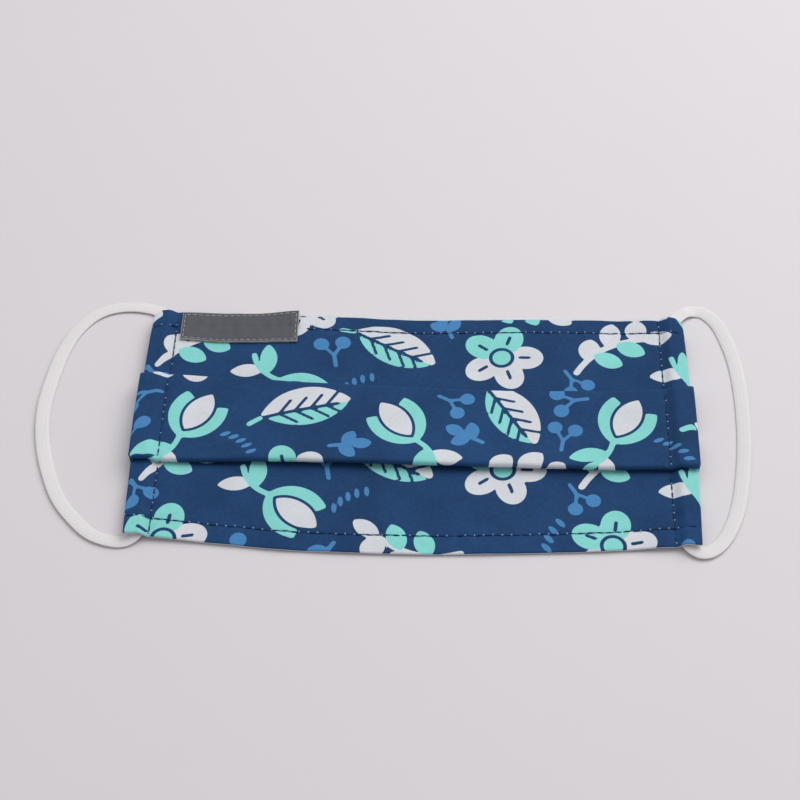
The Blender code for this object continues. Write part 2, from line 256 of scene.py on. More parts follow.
@labelled
class ColourSettings(bpy.types.PropertyGroup):
    """Colours of the cloth, thread, elastic, label and floor."""

    ground: colour("#1a406c", "The cloth's dark blue ground")
    white: colour("#d7dbe1", "White of the print")
    mint: colour("#88d8d3", "Mint green of the print")
    blue: colour("#4885bc", "Mid blue of the print's small motifs")
    reverse: colour("#c9ced8", "The cloth's unprinted reverse")
    thread: colour("#1b3861", "Sewing thread on top")
    bobbin: colour("#8aa0c4", "Lower thread, seen at the needle holes")
    elastic: colour("#e8e4e5", "Knitted elastic")
    label: colour("#505259", "Woven label")
    label_edge: colour("#a8a39b", "The label's cut edges")
    label_thread: colour("#a2a2b0", "Stitches round the label")
    floor: colour("#e0dbdf", "Pale studio floor")


@labelled
class StudioSettings(bpy.types.PropertyGroup):
    """The camera and the lights."""

    elevation: turn(50.72, "Camera above the horizon")
    yaw: turn(1.95, "Camera to the right of the middle")
    roll: turn(-0.55, "Camera turned about its view")
    distance: length(590.1, "Camera to the point that it looks at")
    target: FloatVectorProperty(
        description="Its aim, from the body's middle", default=(-5.0 * MM, 10.47 * MM, 0), unit="LENGTH"
    )
    lens: FloatProperty(description="Focal length", default=82.45, min=1, unit="CAMERA")
    key: FloatProperty(description="Power of the light at the right", default=9.3, unit="POWER")
    fill: FloatProperty(description="Power of the overhead light", default=2.9, unit="POWER")
    ambient: FloatProperty(description="Strength of the light from all round", default=0.43, min=0)


# Where the folded cloth lies


def smooth(share):
    """Eases from 0 to 1 as the share does."""
    share = min(1.0, max(0.0, share))
    return share * share * (3 - 2 * share)


def fold_values(across):
    """The named heights at this place along the mask, on smooth curves through the rows."""
    places = [row[0] for row in FOLD_ROWS]
    last = len(FOLD_ROWS) - 1
    i = max(0, min(last - 1, sum(place <= across for place in places) - 1))
    span = places[i + 1] - places[i]
    share = (across - places[i]) / span
    values = {}
    for column, name in enumerate(FOLD_COLUMNS):
        before, start, end, after = (FOLD_ROWS[max(0, min(last, i + k))] for k in (-1, 0, 1, 2))
        slope_in = (end[column] - before[column]) / (end[0] - before[0]) * span
        slope_out = (after[column] - start[column]) / (after[0] - start[0]) * span
        rise = end[column] - start[column]
        bend = (slope_in - rise) * (1 - share) + (rise - slope_out) * share
        values[name] = start[column] + rise * share + share * (1 - share) * bend
    return values


class FoldedCloth:
    """Finds places on the folded body, measured from the middle between its sides."""

    ROWS = {"upper": 42, "hidden": 4, "inner_fold": 3, "outer_fold": 8, "middle": 45, "lower": 42}
    COVER = 1.5 * MM  # the fine rows run on this far under a fold
    WIDE_WAVES = (31 * MM, 17 * MM)  # length of the cloth's waves along the mask and up it
    SMALL_WAVES = (9 * MM, 6 * MM)
    SEAM_REACH = 7 * MM  # a seam gathers the cloth this far to each side
    GATHERS = (2.6 * MM, 9 * MM)  # length of the gathers along a seam and away from it
    GROOVE = (0.22 * MM, 0.75 * MM)  # depth and half width of the groove that a seam pulls
    LEAST_RELIEF = 0.02 * MM

    def __init__(self):
        self.size = bpy.context.scene.mask_cloth
        self.thread = bpy.context.scene.mask_thread
        self.half_width = self.size.width / 2
        self.half_height = self.size.height / 2
        self.pitch = self.size.cloth + self.size.layer_gap
        self.radius = self.pitch / 2
        self.reach = self.radius + self.size.cloth / 2
        self.stitch_line = self.half_width - self.size.casing_width
        lowest = min(row[FOLD_COLUMNS.index("lower_edge")] for row in FOLD_ROWS)
        self.middle = Vector(((BODY_LOW.x + BODY_HIGH.x) / 2, BODY_LOW.y - lowest * self.size.height, 0))
        self.columns = {}

    def lift(self, from_side):
        """How far the cloth's underside stands off the surface, at this distance from the body's side."""
        size = self.size
        at_stitches = size.cloth - size.stitch_sink
        past_stitches = from_side - size.casing_width
        if past_stitches > 0:
            return at_stitches * smooth(1 - past_stitches / size.side_ramp)
        return at_stitches + (size.tunnel - at_stitches) * smooth(-past_stitches / size.stitch_ramp)

    def side_shift(self, y, level, from_side):
        """How far the sides' bow and the middle panel's step move the cloth outwards."""
        share = smooth(1 - from_side / (self.size.casing_width - self.size.stitch_ramp))
        step = self.size.panel_step * max(0.0, min(1.0, level - 1))
        return (step - self.size.side_bow * (y / self.half_height) ** 2) * share

    def upper_edge(self, x):
        """The upper edge's height, rounded at the corners."""
        radius = self.size.corner_radius
        into_corner = max(0.0, radius - (self.half_width - abs(x)))
        drop = radius - math.sqrt(max(0.0, radius**2 - into_corner**2))
        return fold_values(x / self.half_width)["upper_edge"] * self.size.height - drop

    def lower_edge(self, x):
        return fold_values(x / self.half_width)["lower_edge"] * self.size.height

    def straight(self, start, end, level, rows, heading):
        return [(start + (end - start) * i / rows, level, 0.0, heading) for i in range(rows + 1)]

    def bend(self, y, low, side, upwards, face, rows):
        """Round a fold between two layers, without its ends. side is the way that it bulges."""
        points = []
        for i in range(1, rows):
            angle = math.pi * i / rows - math.pi / 2
            turn = angle if upwards else -angle
            out = side * math.cos(turn)
            up = math.sin(turn)
            points.append((y + self.radius * out, low + (up + 1) / 2, face * out, face * up))
        return points

    def section(self, x):
        """The folded cloth's path at this place, in rows of (y, level, normal y, normal z, flat distance)."""
        rows = fold_values(x / self.half_width)
        upper_fold = rows["upper_fold"] * self.size.height
        lower_fold = rows["lower_fold"] * self.size.height
        upper = upper_fold - self.reach
        lower = lower_fold + self.reach
        upper_inner = upper - self.size.pleat_depth
        lower_inner = lower + self.size.pleat_depth
        covered_upper = upper_fold - self.COVER
        covered_lower = lower_fold + self.COVER
        straight, bend, count = self.straight, self.bend, self.ROWS
        hidden, inner, outer = count["hidden"], count["inner_fold"], count["outer_fold"]
        path = (
            straight(self.upper_edge(x), covered_upper, 0, count["upper"], 1.0)
            + straight(covered_upper, upper_inner, 0, hidden, 1.0)[1:]
            + bend(upper_inner, 0, -1, True, -1.0, inner)
            + straight(upper_inner, upper, 1, hidden, -1.0)
            + bend(upper, 1, 1, True, 1.0, outer)
            + straight(upper, lower, 2, count["middle"], 1.0)
            + bend(lower, 1, -1, False, 1.0, outer)
            + straight(lower, lower_inner, 1, hidden, -1.0)
            + bend(lower_inner, 0, 1, False, -1.0, inner)
            + straight(lower_inner, covered_lower, 0, hidden, 1.0)
            + straight(covered_lower, self.lower_edge(x), 0, count["lower"], 1.0)[1:]
        )
        nodes = []
        flat = 0.0
        for i, (y, level, normal_y, normal_z) in enumerate(path):
            if i:
                flat += math.hypot(y - path[i - 1][0], (level - path[i - 1][1]) * self.pitch)
            nodes.append((y, level, normal_y, normal_z, flat))
        return nodes

    def column(self, x):
        key = round(x / MM, 4)
        if key not in self.columns:
            self.columns[key] = (self.section(x), fold_values(x / self.half_width))
        return self.columns[key]

    def opening(self, y, level, values):
        """How far the middle panel rises towards its lower fold."""
        if level < 1:
            return 0.0
        lower = values["lower_fold"] * self.size.height + self.reach
        return self.size.fold_opening * values["open"] * smooth(1 - (y - lower) / self.size.pleat_depth)

    def relief(self, x, y, level, values):
        """Soft waves in the cloth, gathers along its seams and the groove that each seam pulls."""
        wide = noise.noise(Vector((x / self.WIDE_WAVES[0], y / self.WIDE_WAVES[1], 2.3)))
        small = noise.noise(Vector((x / self.SMALL_WAVES[0], y / self.SMALL_WAVES[1], 7.1)))
        height = self.size.wave * (0.55 + 0.45 * wide + 0.3 * small)
        seams = [
            (self.upper_edge(x) - self.thread.from_upper_edge - y, x, level < 0.5),
            (y - self.lower_edge(x) - self.thread.from_lower_edge, x, level < 0.5),
            (abs(x) - self.stitch_line, y, True),
        ]
        for away, along, sewn in seams:
            if not sewn or abs(away) > self.SEAM_REACH:
                continue
            ripple = noise.noise(Vector((along / self.GATHERS[0], away / self.GATHERS[1], 4.0 + level)))
            fade = math.exp(-abs(away) / self.GATHERS[0])
            height += self.size.pucker * fade * (0.35 + ripple)
            height -= self.GROOVE[0] * math.exp(-((away / self.GROOVE[1]) ** 2))
        return max(height, self.LEAST_RELIEF)

    def height(self, x, y, level, values):
        """How high the underside of this layer lies."""
        stacked = level * self.pitch + self.lift(self.half_width - abs(x))
        return stacked + self.opening(y, level, values) + self.relief(x, y, level, values)

    def place(self, x, row, out):
        """The cloth's point at this column and row, out from its middle surface, and its flat place."""
        nodes, values = self.column(x)
        i = max(0, min(len(nodes) - 2, math.floor(row)))
        share = row - i
        y, level, normal_y, normal_z, flat = (a + (b - a) * share for a, b in zip(nodes[i], nodes[i + 1]))
        shift = self.side_shift(y, level, self.half_width - abs(x)) * (1 if x > 0 else -1)
        z = self.size.cloth / 2 + self.height(x, y, level, values)
        point = self.middle + Vector((x + shift, y + out * normal_y, z + out * normal_z))
        return point, (x + self.half_width, flat)

    def top(self, x, y):
        """The height of the cloth's printed side over this place, and the layer that shows there."""
        values = fold_values(x / self.half_width)
        middle = values["lower_fold"] * self.size.height < y < values["upper_fold"] * self.size.height
        level = 2 if middle else 0
        return self.size.cloth + self.height(x, y, level, values), level

    def flat_distance(self, side, y):
        """How far down the flat cloth the visible panel at the body's side lies."""
        nodes, values = self.column(side * self.half_width)
        upper, lower = (values[name] * self.size.height for name in ("upper_fold", "lower_fold"))
        shown = sorted(
            (at, flat)
            for at, level, _, _, flat in nodes
            if level == 2 or level == 0 and not lower < at < upper
        )
        return float(np.interp(y, *zip(*shown)))


# Shapes of the print: distances into each shape, in millimetres

FAR_OUTSIDE = -9.0


def turned(x, y, degrees):
    angle = math.radians(degrees)
    return x * math.cos(angle) + y * math.sin(angle), y * math.cos(angle) - x * math.sin(angle)


def blade(x, y, at, degrees, long, wide):
    """A pointed leaf that starts at this place and runs this way."""
    x, y = turned(x - at[0], y - at[1], degrees)
    radius = (long * long + wide * wide) / (4 * wide)
    return radius - np.hypot(x - long / 2, np.abs(y) + radius - wide / 2)


def oval(x, y, at, degrees, long, wide):
    """An oval about this place."""
    x, y = turned(x - at[0], y - at[1], degrees)
    return (1 - np.hypot(x / (long / 2), y / (wide / 2))) * min(long, wide) / 2


def line(x, y, points, wide):
    """A round-ended line through the points."""
    nearest = np.full_like(x, 1e3)
    for (x0, y0), (x1, y1) in zip(points, points[1:]):
        span = (x1 - x0) ** 2 + (y1 - y0) ** 2
        share = np.clip(((x - x0) * (x1 - x0) + (y - y0) * (y1 - y0)) / span, 0, 1)
        nearest = np.minimum(nearest, np.hypot(x - x0 - share * (x1 - x0), y - y0 - share * (y1 - y0)))
    return wide / 2 - nearest


def arc_points(start, end, bulge, count=9):
    """Points on a shallow bow from start to end."""
    (x0, y0), (x1, y1) = start, end
    across, up = x1 - x0, y1 - y0
    span = math.hypot(across, up)
    points = []
    for i in range(count + 1):
        share = i / count
        rise = 4 * bulge * share * (1 - share)
        points.append((x0 + across * share - up / span * rise, y0 + up * share + across / span * rise))
    return points


def sprig(x, y):
    """A bowed stem with broad leaves on both sides."""
    stem = arc_points((-15, -3), (11, 1), 3.5)
    white = line(x, y, stem, 2.1)
    mint = np.full_like(x, FAR_OUTSIDE)
    for i, (place, side, long) in enumerate(((2, 1, 9), (3, -1, 10), (5, 1, 10.5), (6, -1, 10), (8, 1, 8.5))):
        wide = 6.2 if i % 2 else 6.9
        shape = blade(x, y, stem[place], side * 52 + 4, long, wide)
        if i % 2:
            mint = np.maximum(mint, shape)
        else:
            white = np.maximum(white, shape)
    white = np.maximum(white, blade(x, y, (10, 1.2), -14, 10, 5.8))
    return {"white": white, "mint": mint}


def bloom(x, y):
    """An open flower of five broad petals, two of them mint."""
    white = mint = slits = np.full_like(x, FAR_OUTSIDE)
    heart = 3.0 - np.hypot(x, y)
    for i in range(5):
        turn = math.radians(72 * i)
        out = (math.cos(turn), math.sin(turn))
        petal = oval(x, y, (7.9 * out[0], 7.9 * out[1]), 72 * i, 11.5, 9.4)
        slit = [(reach * out[0], reach * out[1]) for reach in (6.0, 9.0)]
        slits = np.maximum(slits, line(x, y, slit, 1.2))
        if i in (1, 2):
            mint = np.maximum(mint, petal)
        else:
            white = np.maximum(white, petal)
    bare = -np.maximum(slits, heart + 1.2)
    mint = np.maximum(np.minimum(mint, bare), heart)
    return {"white": np.minimum(white, bare), "mint": mint}


def bud(x, y):
    """A closed flower on its stem, with two leaves."""
    cup = np.maximum(blade(x, y, (-2, 0), 24, 19, 9.5), blade(x, y, (-2, 0), -24, 19, 9.5))
    inside = blade(x, y, (1.5, 0), 0, 16.5, 8.3)
    stem = line(x, y, arc_points((-1, 0), (-15, 3), 2.0), 1.8)
    upper = blade(x, y, (-6, 0), 132, 12.5, 5.6)
    lower = blade(x, y, (-8, 0.5), 222, 11.5, 5.4)
    mint = np.maximum(np.minimum(cup, -(inside + 1.0)), np.maximum(stem, upper))
    return {"mint": mint, "white": np.maximum(inside, lower)}


def leaf(x, y):
    """A large leaf, white on one side and mint on the other, with bare veins."""
    shape = blade(x, y, (-15, 0), 0, 31, 16)
    y_rib = -1.3
    veins = line(x, y, [(-19, y_rib), (11, y_rib)], 1.3)
    for i in range(4):
        start = -9 + 5.4 * i
        for side in (1, -1):
            veins = np.maximum(veins, line(x, y, [(start, y_rib), (start + 5, y_rib + side * 4.8)], 1.1))
    shape = np.minimum(shape, -veins)
    stalk = line(x, y, [(-19.5, -2.8), (-15.5, y_rib)], 1.8)
    return {"white": np.minimum(shape, y - y_rib), "mint": np.maximum(np.minimum(shape, y_rib - y), stalk)}


def twig(x, y):
    """A small stem with three leaves."""
    shape = line(x, y, [(-6, 0), (3, 0)], 1.6)
    for start, turn in ((1.5, 0), (-1, 52), (-2.5, -52)):
        shape = np.maximum(shape, blade(x, y, (start, 0), turn, 7.4, 4.8))
    return {"blue": shape}


def berries(x, y):
    """Two berries on a forked stem."""
    shape = line(x, y, [(-5.5, 0), (-1, 0)], 1.4)
    for end in ((4.2, 3.6), (4.2, -3.6)):
        shape = np.maximum(shape, 2.6 - np.hypot(x - end[0], y - end[1]))
        shape = np.maximum(shape, line(x, y, [(-1, 0), end], 1.2))
    return {"blue": shape}


def seeds(x, y):
    """A bowed row of slanting seeds."""
    shape = np.full_like(x, FAR_OUTSIDE)
    for at in arc_points((-7.5, 0), (7.5, 0), 1.6, 4):
        shape = np.maximum(shape, oval(x, y, at, 62, 4.8, 2.0))
    return {"blue": shape}


MOTIFS = {motif.__name__: motif for motif in (sprig, bloom, bud, leaf, twig, berries, seeds)}
INKS = ("white", "mint", "blue")


def print_distances(flat):
    """Distances into the print's white, mint and blue shapes, in millimetres, at these flat places."""
    across, down = flat[:, 0] / MM, flat[:, 1] / MM
    wide, high = PRINT_REPEAT
    found = {name: np.full(len(flat), FAR_OUTSIDE) for name in INKS}
    for motif, at_across, at_down, turn, size in PRINT_ROWS:
        x = (across - at_across + wide / 2) % wide - wide / 2
        y = (at_down - down + high / 2) % high - high / 2
        x, y = turned(x / size, y / size, turn)
        for name, inside in MOTIFS[motif](x, y).items():
            found[name] = np.maximum(found[name], inside * size)
    selvedge = np.minimum(SELVEDGE[2] - down, np.minimum(across - SELVEDGE[0], SELVEDGE[1] - across))
    found["white"] = np.maximum(found["white"], selvedge)
    found["mint"] = np.minimum(found["mint"], -selvedge)
    return np.stack([np.clip(found[name], -3, 3) for name in INKS], 1)


# Making meshes


def flat_slab(width, depth, columns, rows, thickness, edge_radius):
    """A flat sheet about the origin with round edges, in as many columns and rows."""
    mesh = bmesh.new()
    bmesh.ops.create_grid(mesh, x_segments=columns, y_segments=rows, size=0.5)
    bmesh.ops.scale(mesh, vec=(width, depth, 1), verts=mesh.verts)
    bmesh.ops.solidify(mesh, geom=mesh.faces[:], thickness=thickness)
    middle = (max(v.co.z for v in mesh.verts) + min(v.co.z for v in mesh.verts)) / 2
    bmesh.ops.translate(mesh, vec=(0, 0, -middle), verts=mesh.verts)
    bmesh.ops.recalc_face_normals(mesh, faces=mesh.faces)
    rim = [e for e in mesh.edges if len(e.link_faces) == 2 and e.calc_face_angle() > math.radians(60)]
    bmesh.ops.bevel(
        mesh, geom=rim, offset=edge_radius, offset_type="OFFSET", segments=3, profile=0.5,
        affect="EDGES", material=-1, clamp_overlap=True,
    )
    return mesh


def lay(mesh, place):
    """Moves each point of a flat slab to its place, and keeps where it was on the flat cloth."""
    flat_layer = mesh.verts.layers.float_vector.new("flat")
    for vert in mesh.verts:
        vert.co, flat = place(*vert.co)
        vert[flat_layer] = Vector((*flat, 0))
    bmesh.ops.recalc_face_normals(mesh, faces=mesh.faces)


def mesh_data(name, mesh):
    """The bmesh's faces as mesh data."""
    data = bpy.data.meshes.new(name)
    mesh.to_mesh(data)
    mesh.free()
    return data


def linked(name, data):
    """A new object in the scene."""
    made = bpy.data.objects.new(name, data)
    bpy.context.scene.collection.objects.link(made)
    return made


def finished(name, mesh, materials):
    """Makes the piece from its mesh, riding on the body."""
    data = mesh_data(name, mesh)
    data.shade_smooth()
    for each in materials:
        data.materials.append(each)
    made = linked(name, data)
    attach(made, "root")
    return made


# Materials


def node(tree, kind, inputs=None, **settings):
    """Adds a node with its settings, its values and its links."""
    made = tree.nodes.new(kind)
    for name, value in settings.items():
        setattr(made, name, value)
    for name, value in (inputs or {}).items():
        if isinstance(value, bpy.types.NodeSocket):
            tree.links.new(value, made.inputs[name])
        else:
            made.inputs[name].default_value = value
    return made


def new_material(name, roughness, sheen=0.0, specular=0.5):
    """A material with its shader, and the tree that it is in."""
    made = bpy.data.materials.new(name)
    made.use_nodes = True
    shader = made.node_tree.nodes["Principled BSDF"]
    values = {"Roughness": roughness, "Specular IOR Level": specular,
              "Sheen Weight": sheen, "Sheen Roughness": 0.5}
    for socket, value in values.items():
        shader.inputs[socket].default_value = value
    return made, made.node_tree, shader


def mixed(tree, factor, first, second, blend="MIX"):
    """The socket of a colour mix."""
    made = node(tree, "ShaderNodeMix", data_type="RGBA", blend_type=blend)
    for index, value in ((0, factor), (6, first), (7, second)):
        if isinstance(value, bpy.types.NodeSocket):
            tree.links.new(value, made.inputs[index])
        else:
            made.inputs[index].default_value = value
    return made.outputs[2]


def maths(tree, operation, *values):
    """The socket of a sum, a product or a sine."""
    return node(tree, "ShaderNodeMath", dict(enumerate(values)), operation=operation).outputs[0]


def ranged(tree, value, start=(0.0, 1.0), end=(0.0, 1.0), **settings):
    """The socket of the value carried over from the range start to the range end."""
    inputs = dict(enumerate((value, *start, *end)))
    return node(tree, "ShaderNodeMapRange", inputs, **settings).outputs[0]


def attribute(tree, name):
    """A vertex attribute's vector, and its parts."""
    vector = node(tree, "ShaderNodeAttribute", attribute_name=name).outputs["Vector"]
    return vector, node(tree, "ShaderNodeSeparateXYZ", {0: vector}).outputs


def waves_of(tree, coordinate, spacing):
    """A sine along this coordinate, from -1 to 1, with this many metres from crest to crest."""
    return maths(tree, "SINE", maths(tree, "MULTIPLY", coordinate, 2 * math.pi / spacing))


def plain_weave(tree, spacing):
    """Height of a plain weave's threads on the flat cloth, and of their small unevenness."""
    flat, parts = attribute(tree, "flat")
    crossing = maths(tree, "MULTIPLY", waves_of(tree, parts[0], spacing), waves_of(tree, parts[1], spacing))
    slub = node(tree, "ShaderNodeTexNoise", {"Vector": flat, "Scale": 900.0, "Detail": 3.0})
    return maths(tree, "ADD", crossing, slub.outputs[0])


def coloured(tree, shader, base):
    tree.links.new(base, shader.inputs["Base Color"])


def bumped(tree, shader, height, strength, distance):
    bump = node(tree, "ShaderNodeBump", {"Strength": strength, "Distance": distance, "Height": height})
    tree.links.new(bump.outputs[0], shader.inputs["Normal"])


def varied(tree, base, scale, amount):
    """The colour made lighter and darker at random, in soft patches: scale is in patches a metre."""
    place = node(tree, "ShaderNodeTexCoord").outputs["Object"]
    cloud = node(tree, "ShaderNodeTexNoise", {"Vector": place, "Scale": scale, "Detail": 4.0})
    light = ranged(tree, cloud.outputs[0], end=(1 - amount, 1 + amount))
    return mixed(tree, 1.0, base, light, "MULTIPLY")


def printed_cotton(colours):
    """Poplin, plain woven and screen printed: matt, with crisp edges between flat inks on a dyed ground.

    Its threads lie 0.3 mm apart, which is too fine to show, so the weave is drawn at twice that.
    """
    made, tree, shader = new_material("printed cotton poplin", 0.8, sheen=0.03, specular=0.2)
    inks = attribute(tree, "print")[1]
    edge = (-0.09, 0.09)  # millimetres on each side of an ink's border in which it fades out
    white, mint, blue = (ranged(tree, inks[i], edge, interpolation_type="SMOOTHSTEP") for i in range(3))
    # Painted soft shade: the ground goes lighter and darker in random patches about 18 mm across, standing in
    # for soft shading over the cloth.
    painted_shade_patches = varied(tree, (*colours.ground, 1), scale=55.0, amount=0.35)
    base = varied(tree, painted_shade_patches, scale=1100.0, amount=0.2)
    for share, tint in ((blue, colours.blue), (white, colours.white), (mint, colours.mint)):
        base = mixed(tree, share, base, (*tint, 1))
    # Ground and inks alike go lighter and darker in random patches about 11 mm across.
    patchy_tone = varied(tree, base, scale=90.0, amount=0.1)
    coloured(tree, shader, varied(tree, patchy_tone, scale=1100.0, amount=0.1))
    bumped(tree, shader, plain_weave(tree, 0.6 * MM), strength=0.25, distance=0.04 * MM)
    return made


def cotton_reverse(colours):
    """The same poplin's unprinted side: the ground shows through it as a pale blue grey."""
    made, tree, shader = new_material("cotton poplin reverse", 0.85, sheen=0.03, specular=0.2)
    coloured(tree, shader, varied(tree, (*colours.reverse, 1), scale=150.0, amount=0.06))
    bumped(tree, shader, plain_weave(tree, 0.6 * MM), strength=0.3, distance=0.04 * MM)
    return made


def sewing_thread(name, tint):
    """Spun polyester thread: dull, with a fine twist, 0.5 mm from turn to turn."""
    made, tree, shader = new_material(name, 0.7, specular=0.15)
    inputs = {"Vector": node(tree, "ShaderNodeTexCoord").outputs["Object"], "Scale": 640.0, "Distortion": 0.5}
    twist = node(tree, "ShaderNodeTexWave", inputs, bands_direction="DIAGONAL").outputs["Fac"]
    shade = ranged(tree, twist, end=(0.75, 1.15))
    coloured(tree, shader, mixed(tree, 1.0, (*tint, 1), shade, "MULTIPLY"))
    bumped(tree, shader, twist, strength=0.4, distance=0.05 * MM)
    return made


def knitted_elastic(colours):
    """Warp-knitted polyester over rubber: soft and matt, with chains of stitches 0.9 mm wide along it."""
    made, tree, shader = new_material("knitted polyester elastic", 0.88, sheen=0.25, specular=0.3)
    parts = attribute(tree, "flat")[1]
    around = waves_of(tree, parts[1], 0.9 * MM)
    lean = maths(tree, "MULTIPLY", around, 0.25 * MM)
    along = waves_of(tree, maths(tree, "ADD", parts[0], lean), 0.8 * MM)
    loops = maths(tree, "ADD", around, along)
    height = ranged(tree, loops, (-2.0, 2.0))
    shade = ranged(tree, loops, (-2.0, 2.0), (0.96, 1.02))
    base = mixed(tree, 1.0, (*colours.elastic, 1), shade, "MULTIPLY")
    coloured(tree, shader, varied(tree, base, scale=260.0, amount=0.03))
    bumped(tree, shader, height, strength=0.3, distance=0.06 * MM)
    return made


def woven_tape(name, tint, ribs):
    """Damask label tape, woven of fine polyester: close ribs across it and a faint satin sheen."""
    made, tree, shader = new_material(name, 0.62, sheen=0.1, specular=0.4)
    parts = attribute(tree, "flat")[1]
    height = maths(tree, "ADD", waves_of(tree, parts[1], ribs), waves_of(tree, parts[0], ribs * 0.8))
    shade = ranged(tree, height, (-2.0, 2.0), (0.86, 1.12))
    base = mixed(tree, 1.0, (*tint, 1), shade, "MULTIPLY")
    coloured(tree, shader, varied(tree, base, scale=400.0, amount=0.1))
    bumped(tree, shader, height, strength=0.4, distance=0.04 * MM)
    return made


def studio_paper(colours):
    """Matt coated card under the mask: pale, with the faintest mottle."""
    made, tree, shader = new_material("pale studio card", 0.75, specular=0.2)
    coloured(tree, shader, varied(tree, (*colours.floor, 1), scale=28.0, amount=0.008))
    return made


# Pieces


class MASK_OT_cloth(bpy.types.Operator):
    """Folds the printed cloth into the mask's body, with its sides turned under"""

    bl_idname = "mask.cloth"
    bl_label = "Pleated cloth"

    CUT_EDGE = 0.1 * MM  # the lower edge shows its undyed core up to this far in

    def execute(self, context):
        cloth = FoldedCloth()
        size = cloth.size
        columns = round(size.width / size.step)
        rows = len(cloth.section(0.0)) - 1
        depth = rows * size.step
        mesh = flat_slab(size.width, depth, columns, rows, size.cloth, size.edge_radius)
        for face in mesh.faces:
            centre = face.calc_center_median()
            cut_edge = centre.y < self.CUT_EDGE - depth / 2 and centre.z < 0.1 * size.cloth
            face.material_index = 1 if cut_edge or centre.z < -0.3 * size.cloth else 0
        lay(mesh, lambda x, y, z: cloth.place(x, (depth / 2 - y) / size.step, z))
        for side in (-1, 1):
            self.add_casing(mesh, cloth, side)
        colours = context.scene.mask_colours
        made = finished("mask_cloth", mesh, [printed_cotton(colours), cotton_reverse(colours)])
        self.add_print(made.data)
        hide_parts("mask_body")
        unfolded = cloth.section(0.0)[-1][4]
        return {"FINISHED"}

    def add_casing(self, mesh, cloth, side):
        """The side edge's return under the body: a flap on the surface, and the side wall that joins it."""
        size = cloth.size
        nodes, values = cloth.column(side * cloth.half_width)
        low = values["lower_edge"] * size.height + size.lower_mouth
        high = values["upper_edge"] * size.height - size.upper_mouth
        lower = values["lower_fold"] * size.height
        upper = values["upper_fold"] * size.height
        flap_end = cloth.stitch_line - size.flap
        straight_run = cloth.half_width - size.cloth / 2 - size.wall_bend - flap_end
        bend_run = size.wall_bend * math.pi / 2
        wall_run = size.tunnel + size.cloth - size.wall_drop - size.cloth / 2 - size.wall_bend
        run = straight_run + bend_run + wall_run
        steps = round(run / size.step)
        rows = round((high - low) / (1.2 * size.step))
        piece = flat_slab(run, high - low, steps, rows, size.cloth, size.edge_radius)
        for face in piece.faces:
            face.material_index = 1 if face.calc_center_median().z > 0.3 * size.cloth else 0

        def place(along, across, out):
            y = (low + high) / 2 + across
            along += run / 2
            into = min(y - lower, upper - y)
            step = smooth(into / cloth.reach)
            bow = size.side_bow * (y / cloth.half_height) ** 2
            shift = size.panel_step * step - bow - size.wall_inset
            wall = cloth.half_width - size.cloth / 2 + shift
            if along < straight_run:
                share = along / straight_run
                x = flap_end + share * (wall - size.wall_bend - flap_end)
                point = (x, size.cloth / 2 + out)
            elif along < straight_run + bend_run:
                angle = (along - straight_run) / size.wall_bend
                radius = size.wall_bend - out
                point = (
                    wall - size.wall_bend + radius * math.sin(angle),
                    size.cloth / 2 + size.wall_bend - radius * math.cos(angle),
                )
            else:
                share = (along - straight_run - bend_run) / wall_run
                rise = wall_run + 2 * cloth.pitch * step
                point = (wall - out, size.cloth / 2 + size.wall_bend + share * rise)
            flat = (cloth.half_width + side * (cloth.half_width + run - along), cloth.flat_distance(side, y))
            return cloth.middle + Vector((side * point[0], y, point[1])), flat

        lay(piece, place)
        data = mesh_data("casing", piece)
        mesh.from_mesh(data)
        bpy.data.meshes.remove(data)

    def add_print(self, data):
        """Keeps each point's distances into the print's shapes on the cloth."""
        flat = np.zeros(len(data.vertices) * 3)
        data.attributes["flat"].data.foreach_get("vector", flat)
        distances = print_distances(flat.reshape(-1, 3)[:, :2])
        printed = data.attributes.new("print", "FLOAT_VECTOR", "POINT")
        printed.data.foreach_set("vector", distances.ravel())


def add_stitch(mesh, start, end, gap, thread, rise):
    """One stitch: a short plump thread whose ends dip into the cloth, half a gap from each needle hole."""
    along = (end - start).normalized()
    long = (end - start).length - gap
    across = along.cross(Vector((0, 0, 1))).normalized()
    up = across.cross(along)
    turn = Matrix((along, across, up)).transposed().to_4x4()
    middle = (start + end) / 2 + up * rise
    size = Matrix.Diagonal((long / 2, thread / 2, thread / 2, 1))
    matrix = Matrix.Translation(middle) @ turn @ size @ Matrix.Rotation(math.pi / 2, 4, "Y")
    bmesh.ops.create_uvsphere(mesh, u_segments=8, v_segments=8, radius=1, matrix=matrix)


